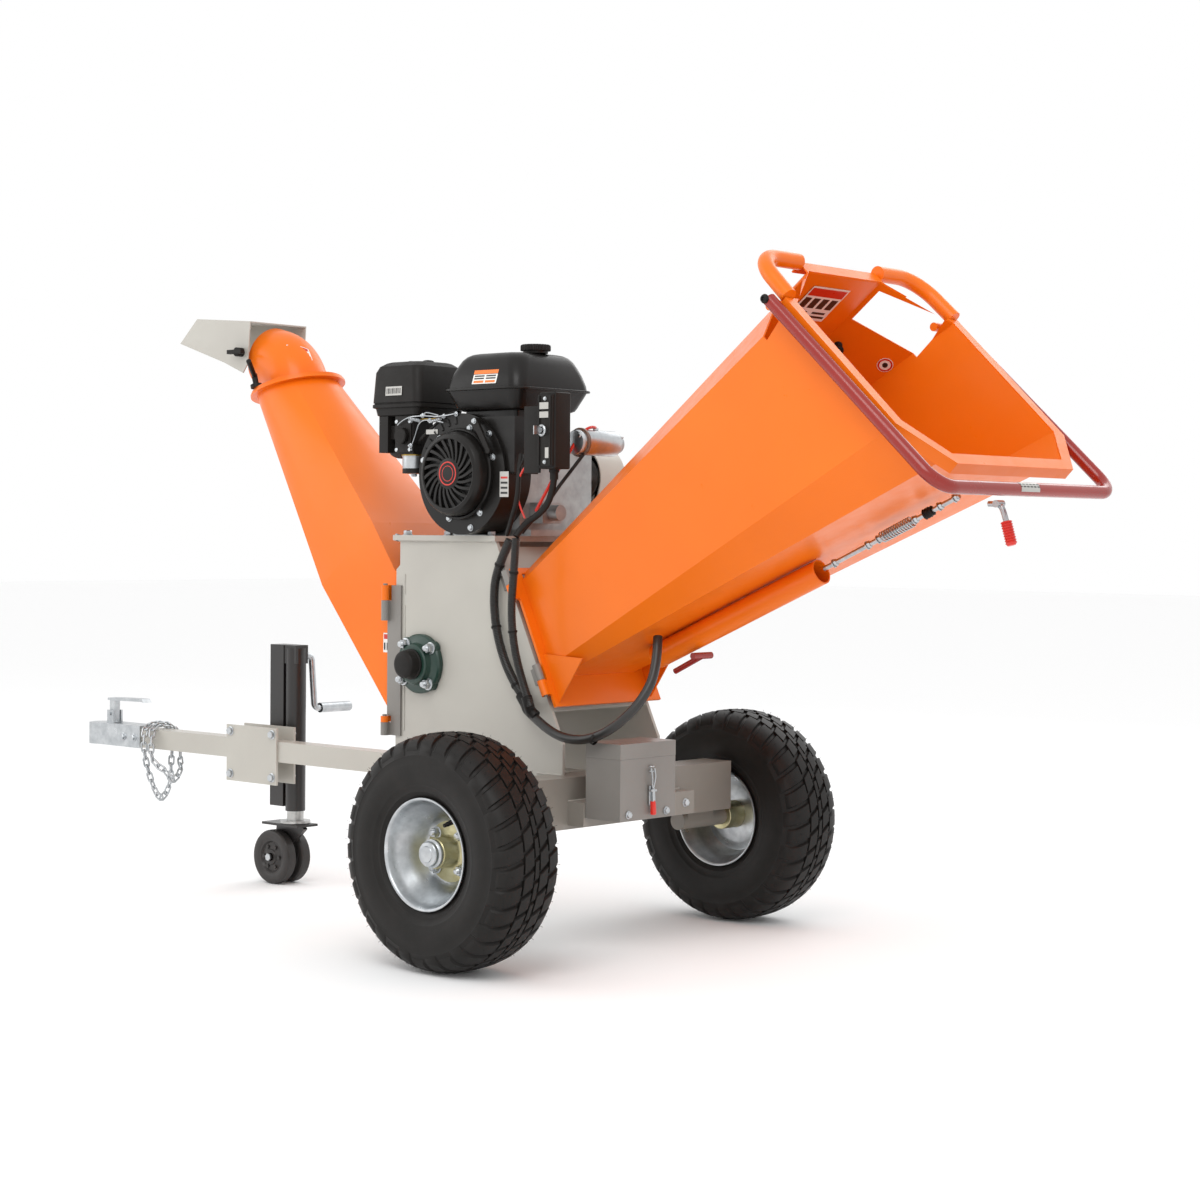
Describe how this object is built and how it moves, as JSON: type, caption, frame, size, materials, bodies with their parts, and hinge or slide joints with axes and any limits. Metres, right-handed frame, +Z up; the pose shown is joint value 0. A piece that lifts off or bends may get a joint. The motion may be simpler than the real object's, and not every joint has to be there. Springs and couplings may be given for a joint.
{
  "type": "wood chipper",
  "caption": "Towable petrol drum wood chipper: tilting infeed hopper with red stop bar, belt-driven rotor, swinging discharge chute, ball-coupler drawbar and jockey wheel.",
  "frame": {"origin": "middle of the footprint on the ground, at the centre of the whole machine's bounding box", "axes": "+X towards the infeed hopper, -X towards the tow coupler, +Y towards the belt guard side, +Z up"},
  "size_m": [2.891, 1.102, 1.428],
  "materials": {
    "black_paint": "satin black paint",
    "black_plastic": "textured black moulding",
    "cast_alloy": "as-cast aluminium",
    "cast_green": "dark green enamelled cast iron",
    "dark_grey_paint": "satin dark grey powder coat",
    "engine_black": "satin black engine enamel",
    "grey_paint": "satin warm grey powder coat",
    "orange_paint": "semi-gloss orange powder coat",
    "red_paint": "glossy red paint",
    "red_plastic": "red moulded grip",
    "rubber": "black rubber",
    "steel": "machined steel",
    "tyre_rubber": "black vulcanised rubber",
    "yellow_zinc": "yellow passivated zinc",
    "zinc": "bright zinc plate"
  },
  "bodies": {
    "frame": {"axle_beam": "grey_paint", "drawbar": "grey_paint", "coupler_body": "zinc", "frame_bolts": "zinc", "safety_chains": "zinc", "jack_bracket": "grey_paint", "side_plates": "grey_paint", "engine_plate": "grey_paint", "rotor_casing": "grey_paint", "anvil_knife": "steel", "hinge_leaves": "dark_grey_paint", "bearing_housings": "cast_green", "engine_block": "cast_alloy", "blower_housing": "engine_black", "recoil_cover": "engine_black", "fuel_tank": "engine_black", "air_filter": "black_plastic", "carburettor": "cast_alloy", "muffler": "steel", "starter_motor": "zinc", "control_box": "black_plastic", "drive_belt": "rubber", "belt_guard": "grey_paint", "battery_box": "dark_grey_paint", "battery": "black_plastic", "wiring_loom": "black_plastic", "loom_loop": "black_plastic"},
    "near_wheel": {"near_tyre": "tyre_rubber", "near_rim": "zinc", "near_hub": "yellow_zinc"},
    "far_wheel": {"far_tyre": "tyre_rubber", "far_rim": "zinc", "far_hub": "yellow_zinc"},
    "coupler_latch": {"coupler_latch": "zinc"},
    "jack_tube": {"jack_outer_tube": "black_paint"},
    "jack_leg": {"jack_leg": "steel"},
    "jack_crank": {"jack_crank": "zinc"},
    "caster_fork": {"caster_fork": "black_paint"},
    "caster_wheels": {"caster_wheels": "rubber"},
    "rotor": {"rotor_drum": "steel", "rotor_knives": "steel", "rotor_pulley": "steel"},
    "engine_shaft": {"crankshaft_flywheel": "steel", "engine_pulley": "steel"},
    "fuel_cap": {"fuel_cap": "engine_black"},
    "ignition_key": {"ignition_key": "steel"},
    "throttle_lever": {"throttle_lever": "black_plastic"},
    "battery_lid": {"battery_lid": "dark_grey_paint"},
    "box_latch": {"box_latch": "zinc"},
    "chute": {"discharge_chute": "orange_paint"},
    "elbow": {"chute_elbow": "orange_paint", "chute_knobs": "black_plastic"},
    "hood": {"deflector_hood": "grey_paint"},
    "hopper": {"hopper": "orange_paint", "grab_handles": "orange_paint", "cable_cover": "orange_paint"},
    "stop_linkage": {"stop_linkage": "zinc"},
    "safety_bar": {"safety_bar": "red_paint"},
    "release_lever": {"release_lever": "red_plastic"},
    "latch_pin": {"latch_pin": "red_plastic"}
  },
  "joints": [
    {"name": "near_wheel_spin", "type": "hinge", "parent": "frame", "child": "near_wheel", "pos_m": [0.3788, -0.462, 0.2415], "axis": [0, 1, 0], "continuous": true},
    {"name": "far_wheel_spin", "type": "hinge", "parent": "frame", "child": "far_wheel", "pos_m": [0.3788, 0.462, 0.2415], "axis": [0, 1, 0], "continuous": true},
    {"name": "coupler_latch_lift", "type": "hinge", "parent": "frame", "child": "coupler_latch", "pos_m": [-1.3592, 0, 0.396], "axis": [0, 1, 0], "range_deg": [-55, 0]},
    {"name": "jack_fold", "type": "hinge", "parent": "frame", "child": "jack_tube", "pos_m": [-0.7622, 0.078, 0.33], "axis": [0, 1, 0], "range_deg": [-90, 0]},
    {"name": "jack_leg_slide", "type": "slide", "parent": "jack_tube", "child": "jack_leg", "axis": [0, 0, -1], "range_m": [0, 0.2]},
    {"name": "jack_crank_turn", "type": "hinge", "parent": "jack_tube", "child": "jack_crank", "pos_m": [-0.7212, 0.078, 0.572], "axis": [0, 1, 0], "range_deg": [0, 14400]},
    {"name": "caster_swivel", "type": "hinge", "parent": "jack_leg", "child": "caster_fork", "pos_m": [-0.7212, 0.078, 0.15], "axis": [0, 0, 1], "range_deg": [-180, 0]},
    {"name": "caster_spin", "type": "hinge", "parent": "caster_fork", "child": "caster_wheels", "pos_m": [-0.7712, 0.078, 0.068], "axis": [0, 1, 0], "continuous": true},
    {"name": "rotor_spin", "type": "hinge", "parent": "frame", "child": "rotor", "pos_m": [-0.0222, 0, 0.592], "axis": [0, 1, 0], "continuous": true},
    {"name": "engine_spin", "type": "hinge", "parent": "frame", "child": "engine_shaft", "pos_m": [0.1308, 0, 1.01], "axis": [0, 1, 0], "continuous": true},
    {"name": "fuel_cap_turn", "type": "hinge", "parent": "frame", "child": "fuel_cap", "pos_m": [0.2418, -0.08, 1.28], "axis": [0, 0, 1], "range_deg": [0, 90]},
    {"name": "ignition_key_turn", "type": "hinge", "parent": "frame", "child": "ignition_key", "pos_m": [0.3808, -0.21, 1.098], "axis": [0, 1, 0], "range_deg": [-45, 45]},
    {"name": "throttle_swing", "type": "hinge", "parent": "frame", "child": "throttle_lever", "pos_m": [0.1888, -0.201, 1.122], "axis": [0, 1, 0], "range_deg": [-45, 0]},
    {"name": "battery_lid_hinge", "type": "hinge", "parent": "frame", "child": "battery_lid", "pos_m": [0.4838, -0.087, 0.421], "axis": [0, 1, 0], "range_deg": [-85, 0]},
    {"name": "box_latch_swing", "type": "hinge", "parent": "frame", "child": "box_latch", "pos_m": [0.5828, -0.081, 0.41], "axis": [0, 1, 0], "range_deg": [-70, 0]},
    {"name": "chute_swing", "type": "hinge", "parent": "frame", "child": "chute", "pos_m": [-0.1292, -0.172, 0.6], "axis": [0, 0, 1], "range_deg": [0, 100]},
    {"name": "elbow_turn", "type": "hinge", "parent": "chute", "child": "elbow", "pos_m": [-0.6282, 0, 1.226], "axis": [-0.277, 0, 0.9609], "continuous": true},
    {"name": "hood_tilt", "type": "hinge", "parent": "elbow", "child": "hood", "pos_m": [-0.7332, 0, 1.318], "axis": [0, 1, 0], "range_deg": [-35, 12]},
    {"name": "hopper_swing", "type": "hinge", "parent": "frame", "child": "hopper", "pos_m": [0.24638, -0.176, 0.80637], "axis": [0.4249, 0, -0.9052], "range_deg": [0, 80], "deforming": ["loom_loop", "wiring_loom"]},
    {"name": "stop_linkage_slide", "type": "slide", "parent": "hopper", "child": "stop_linkage", "axis": [0.91, 0, 0.4146], "range_m": [-0.02, 0.02]},
    {"name": "safety_bar_swing", "type": "hinge", "parent": "hopper", "child": "safety_bar", "pos_m": [1.0508, 0, 1.322], "axis": [0, 1, 0], "range_deg": [-6, 4.5]},
    {"name": "release_lever_pull", "type": "hinge", "parent": "hopper", "child": "release_lever", "pos_m": [1.3628, 0, 0.946], "axis": [0, 1, 0], "range_deg": [-25, 10]},
    {"name": "latch_pin_slide", "type": "slide", "parent": "hopper", "child": "latch_pin", "axis": [0.9, 0, 0.436], "range_m": [0, 0.025]}
  ],
  "couplings": [
    {"joint": "engine_spin", "follows": "rotor_spin", "ratio": 1.6977},
    {"joint": "jack_leg_slide", "follows": "jack_crank_turn", "m_per_rad": 0.00079577},
    {"joint": "stop_linkage_slide", "follows": "safety_bar_swing", "m_per_rad": 0.14}
  ]
}
